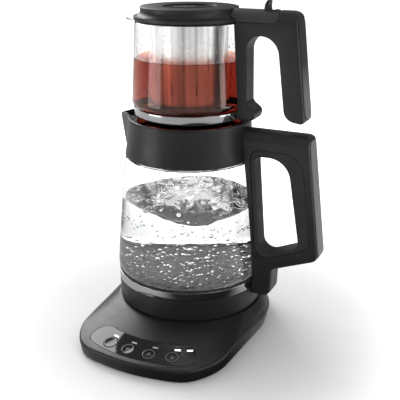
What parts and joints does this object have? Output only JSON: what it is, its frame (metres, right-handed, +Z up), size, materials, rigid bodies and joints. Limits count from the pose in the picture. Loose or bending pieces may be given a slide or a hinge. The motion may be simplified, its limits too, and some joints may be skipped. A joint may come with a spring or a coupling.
{
  "type": "tea maker",
  "caption": "Electric tea maker: a glass kettle on a heated base with sloping push buttons, and a lidded glass teapot with an infuser seated in the kettle's collar.",
  "frame": {"origin": "middle of the footprint of the bounding box, on the table", "axes": "+Z up; -Y the front with the buttons; +X the handles; -X the spouts"},
  "size_m": [0.244, 0.2384, 0.3598],
  "materials": {
    "plastic": "fine matte charcoal",
    "soft_plastic": "soft matte, dimpled",
    "gloss_plastic": "piano black",
    "rubber": "matte",
    "silicone": "satin grey",
    "glass": "clear",
    "steel": "satin",
    "dark_steel": "polished",
    "light_pipe": "lit white",
    "circuit_board": "solder mask",
    "component": "moulded"
  },
  "bodies": {
    "base": {"base_housing": "plastic", "base_bottom_cover": "plastic", "base_screw_1": "steel", "base_screw_2": "steel", "base_screw_3": "steel", "base_screw_4": "steel", "base_foot_1": "rubber", "base_foot_2": "rubber", "base_foot_3": "rubber", "base_foot_4": "rubber", "cord_gland": "rubber", "control_panel": "gloss_plastic", "power_switch": "component", "warm_switch": "component", "boil_switch": "component", "brew_switch": "component", "indicator_light_1": "light_pipe", "indicator_light_2": "light_pipe", "indicator_light_3": "light_pipe", "indicator_light_4": "light_pipe", "indicator_light_5": "light_pipe", "control_board": "circuit_board", "power_board": "circuit_board", "power_relay": "component", "base_connector": "plastic"},
    "power_key": {"power_button": "gloss_plastic"},
    "warm_key": {"warm_button": "gloss_plastic"},
    "boil_key": {"boil_button": "gloss_plastic"},
    "brew_key": {"brew_button": "gloss_plastic"},
    "kettle": {"kettle_foot": "plastic", "kettle_connector": "plastic", "kettle_metal_band": "dark_steel", "heating_plate": "steel", "heating_element": "dark_steel", "temperature_sensor": "steel", "plate_gasket": "silicone", "kettle_glass": "glass", "kettle_collar": "plastic", "teapot_seat_ring": "silicone", "spout_strainer": "steel", "kettle_handle_frame": "plastic", "kettle_handle_liner": "soft_plastic", "kettle_handle_strip": "gloss_plastic"},
    "teapot": {"teapot_glass": "glass", "teapot_metal_band": "steel", "teapot_handle_frame": "plastic", "teapot_handle_grip": "soft_plastic", "teapot_handle_strip": "gloss_plastic", "infuser_ring": "plastic", "infuser_basket": "steel", "lid_hinge_pin": "steel"},
    "lid": {"lid_shell": "plastic", "lid_inlay": "gloss_plastic", "lid_seal": "silicone", "lid_arm": "plastic", "lid_thumb_lever": "plastic"}
  },
  "joints": [
    {"name": "kettle_lift", "type": "slide", "parent": "base", "child": "kettle", "axis": [0, 0, 1], "range_m": [0, 0.08]},
    {"name": "teapot_lift", "type": "slide", "parent": "kettle", "child": "teapot", "axis": [0, 0, 1], "range_m": [0, 0.08]},
    {"name": "lid_hinge", "type": "hinge", "parent": "teapot", "child": "lid", "pos_m": [0.06322, 0.02575, 0.3445], "axis": [0, 1, 0], "range_deg": [0, 80]},
    {"name": "power_press", "type": "slide", "parent": "base", "child": "power_key", "axis": [0.0651, 0.2446, -0.9674], "range_m": [0, 0.0008], "stiffness_N_per_m": 300},
    {"name": "warm_press", "type": "slide", "parent": "base", "child": "warm_key", "axis": [0.0194, 0.2524, -0.9674], "range_m": [0, 0.0008], "stiffness_N_per_m": 300},
    {"name": "boil_press", "type": "slide", "parent": "base", "child": "boil_key", "axis": [-0.0287, 0.2515, -0.9674], "range_m": [0, 0.0008], "stiffness_N_per_m": 300},
    {"name": "brew_press", "type": "slide", "parent": "base", "child": "brew_key", "axis": [-0.0765, 0.2413, -0.9674], "range_m": [0, 0.0008], "stiffness_N_per_m": 300}
  ]
}
